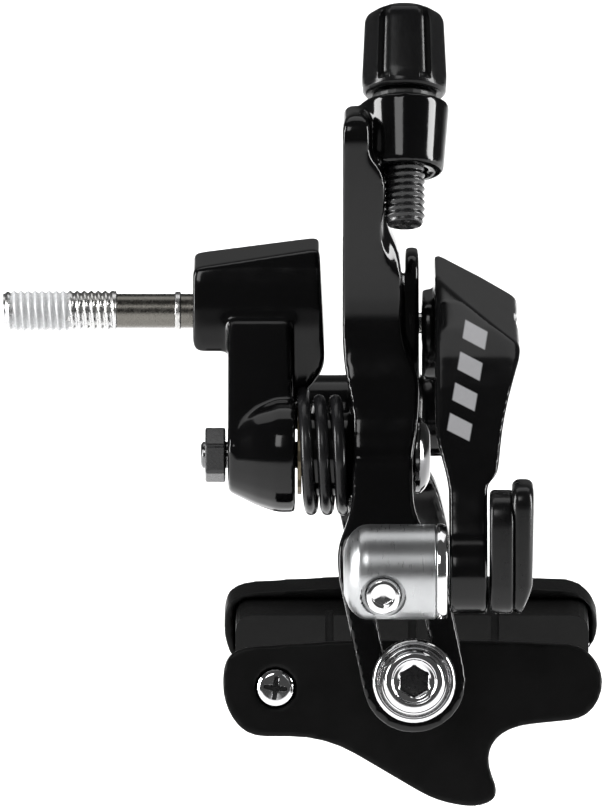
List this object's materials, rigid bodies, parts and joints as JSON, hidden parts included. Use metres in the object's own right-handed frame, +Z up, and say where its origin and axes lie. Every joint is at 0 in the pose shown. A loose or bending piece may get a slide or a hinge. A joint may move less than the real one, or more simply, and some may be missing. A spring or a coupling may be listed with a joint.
{
  "type": "rim brake caliper",
  "caption": "Dual-pivot side-pull rim brake caliper with a rear mounting stud, cable adjuster, quick-release cable clamp and cartridge brake shoes.",
  "frame": {"origin": "mounting stud's axis at the bracket's rear contact face", "axes": "+X towards the front of the bicycle along the stud, +Y away from the cable adjuster side, +Z up"},
  "size_m": [0.0852, 0.0937, 0.1132],
  "materials": {
    "paint": "gloss black paint",
    "holder": "matte black coated alloy",
    "rubber": "matte black",
    "satin_aluminium": "satin",
    "chrome": "polished plate",
    "steel": "zinc plated",
    "black_steel": "black oxide",
    "plastic": "black, slightly glossy",
    "nylon": "black",
    "bronze": "plain bearing bronze"
  },
  "bodies": {
    "bracket": {"bracket": "paint", "mounting_stud": "steel", "near_pivot_bolt": "chrome", "far_pivot_bolt": "chrome", "near_pivot_nut": "black_steel", "near_thrust_washer": "bronze", "far_thrust_washer": "bronze", "return_spring": "black_steel"},
    "adjuster_arm": {"adjuster_arm": "paint", "near_pivot_bush": "bronze", "link_pin": "steel", "adjuster_detent_ring": "nylon"},
    "link_roller": {"link_roller": "nylon"},
    "anchor_arm": {"anchor_arm": "paint", "far_pivot_bush": "bronze"},
    "adjuster_bolt": {"adjuster_bolt": "black_steel"},
    "adjuster_knob": {"adjuster_knob": "plastic"},
    "qr_lever": {"qr_lever": "paint"},
    "cable_clamp": {"cable_clamp_barrel": "satin_aluminium", "cable_clamp_screw": "chrome"},
    "near_shoe_bolt": {"near_pad_bolt": "chrome", "near_dish_washer": "chrome", "near_convex_spacer": "steel", "near_concave_spacer": "steel"},
    "near_shoe": {"near_shoe_holder": "holder", "near_brake_pad": "rubber", "near_pad_screw": "chrome"},
    "far_shoe_bolt": {"far_pad_bolt": "chrome", "far_dish_washer": "chrome", "far_convex_spacer": "steel", "far_concave_spacer": "steel"},
    "far_shoe": {"far_shoe_holder": "holder", "far_brake_pad": "rubber", "far_pad_screw": "chrome"}
  },
  "joints": [
    {"name": "adjuster_arm_swing", "type": "hinge", "parent": "bracket", "child": "adjuster_arm", "pos_m": [0.027, -0.0175, -0.018], "axis": [1, 0, 0], "range_deg": [0, 12], "stiffness_Nm_per_rad": 0.5, "springref_deg": -34.38, "deforming": ["return_spring"]},
    {"name": "anchor_arm_swing", "type": "hinge", "parent": "bracket", "child": "anchor_arm", "pos_m": [0.027, 0.0175, -0.018], "axis": [1, 0, 0], "range_deg": [-12, 0]},
    {"name": "link_roller_spin", "type": "hinge", "parent": "adjuster_arm", "child": "link_roller", "pos_m": [0.0346, 0, -0.00175], "axis": [1, 0, 0], "continuous": true},
    {"name": "adjuster_knob_turn", "type": "hinge", "parent": "adjuster_arm", "child": "adjuster_knob", "pos_m": [0.0301, -0.012, 0.0266], "axis": [0, 0.4384, 0.8988], "range_deg": [0, 2160]},
    {"name": "adjuster_bolt_rise", "type": "slide", "parent": "adjuster_arm", "child": "adjuster_bolt", "axis": [0, 0.4384, 0.8988], "range_m": [0, 0.006]},
    {"name": "qr_lever_turn", "type": "hinge", "parent": "anchor_arm", "child": "qr_lever", "pos_m": [0.039, -0.0435, -0.0305], "axis": [1, 0, 0], "range_deg": [0, 100]},
    {"name": "cable_clamp_orbit", "type": "hinge", "parent": "qr_lever", "child": "cable_clamp", "pos_m": [0.029, -0.0435, -0.0291], "axis": [1, 0, 0], "range_deg": [-100, 0]},
    {"name": "near_shoe_height", "type": "slide", "parent": "adjuster_arm", "child": "near_shoe_bolt", "axis": [-0.2079, 0.153, 0.9661], "range_m": [0, 0.0042]},
    {"name": "near_shoe_swivel", "type": "hinge", "parent": "near_shoe_bolt", "child": "near_shoe", "pos_m": [0.0314, -0.03508, -0.04751], "axis": [0, -0.9877, 0.1564], "range_deg": [-8, 8]},
    {"name": "far_shoe_height", "type": "slide", "parent": "anchor_arm", "child": "far_shoe_bolt", "axis": [-0.2079, -0.153, 0.9661], "range_m": [0, 0.01]},
    {"name": "far_shoe_swivel", "type": "hinge", "parent": "far_shoe_bolt", "child": "far_shoe", "pos_m": [0.0314, 0.03508, -0.04751], "axis": [0, 0.9877, 0.1564], "range_deg": [-8, 8]}
  ],
  "couplings": [
    {"joint": "anchor_arm_swing", "follows": "adjuster_arm_swing", "ratio": -1},
    {"joint": "adjuster_knob_turn", "follows": "adjuster_bolt_rise", "rad_per_m": 6283.2},
    {"joint": "cable_clamp_orbit", "follows": "qr_lever_turn", "ratio": -1}
  ]
}
